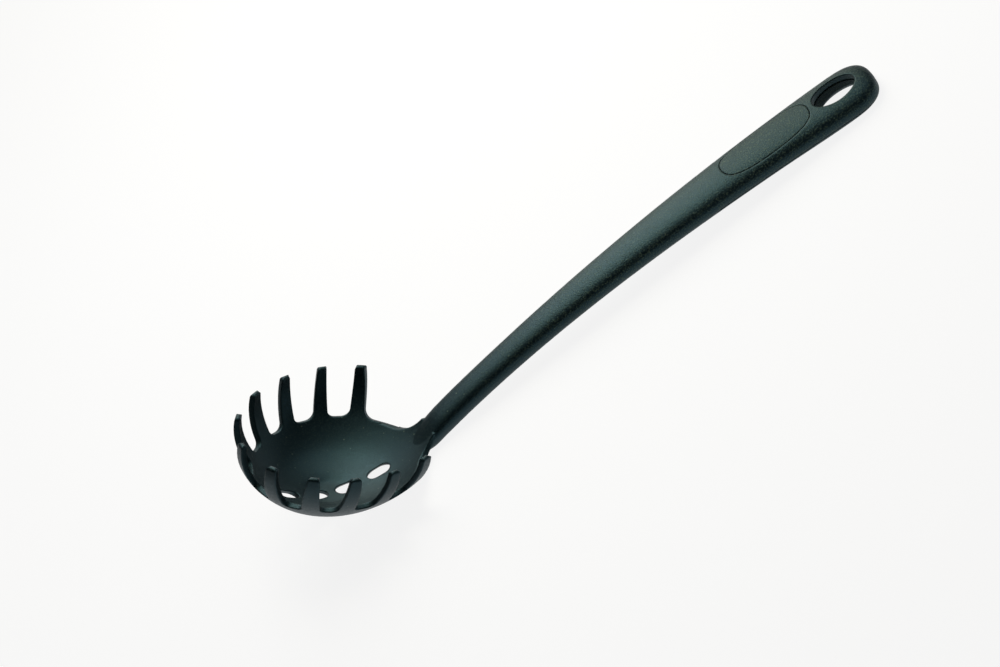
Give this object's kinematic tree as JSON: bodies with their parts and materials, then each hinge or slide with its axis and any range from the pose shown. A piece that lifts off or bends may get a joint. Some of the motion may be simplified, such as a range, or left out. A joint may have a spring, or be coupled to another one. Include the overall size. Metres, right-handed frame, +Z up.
{
  "type": "pasta server",
  "caption": "Deep toothed spaghetti spoon with drain slots, and a long curved hollow handle with an oval hanging hole, a flush inlay and a back cover.",
  "frame": {"origin": "middle of the bounding box's bottom face, on the table the server lies on", "axes": "+X from the bowl towards the handle's end, +Z up as it lies on a table, the server is symmetric across Y"},
  "size_m": [0.2964, 0.0812, 0.0603],
  "materials": {
    "nylon": "fine spark-textured satin black",
    "nylon_inlay": "fine spark-textured satin black"
  },
  "bodies": {
    "root": {"server_body": "nylon", "back_cover": "nylon", "top_inlay": "nylon_inlay"}
  },
  "joints": []
}
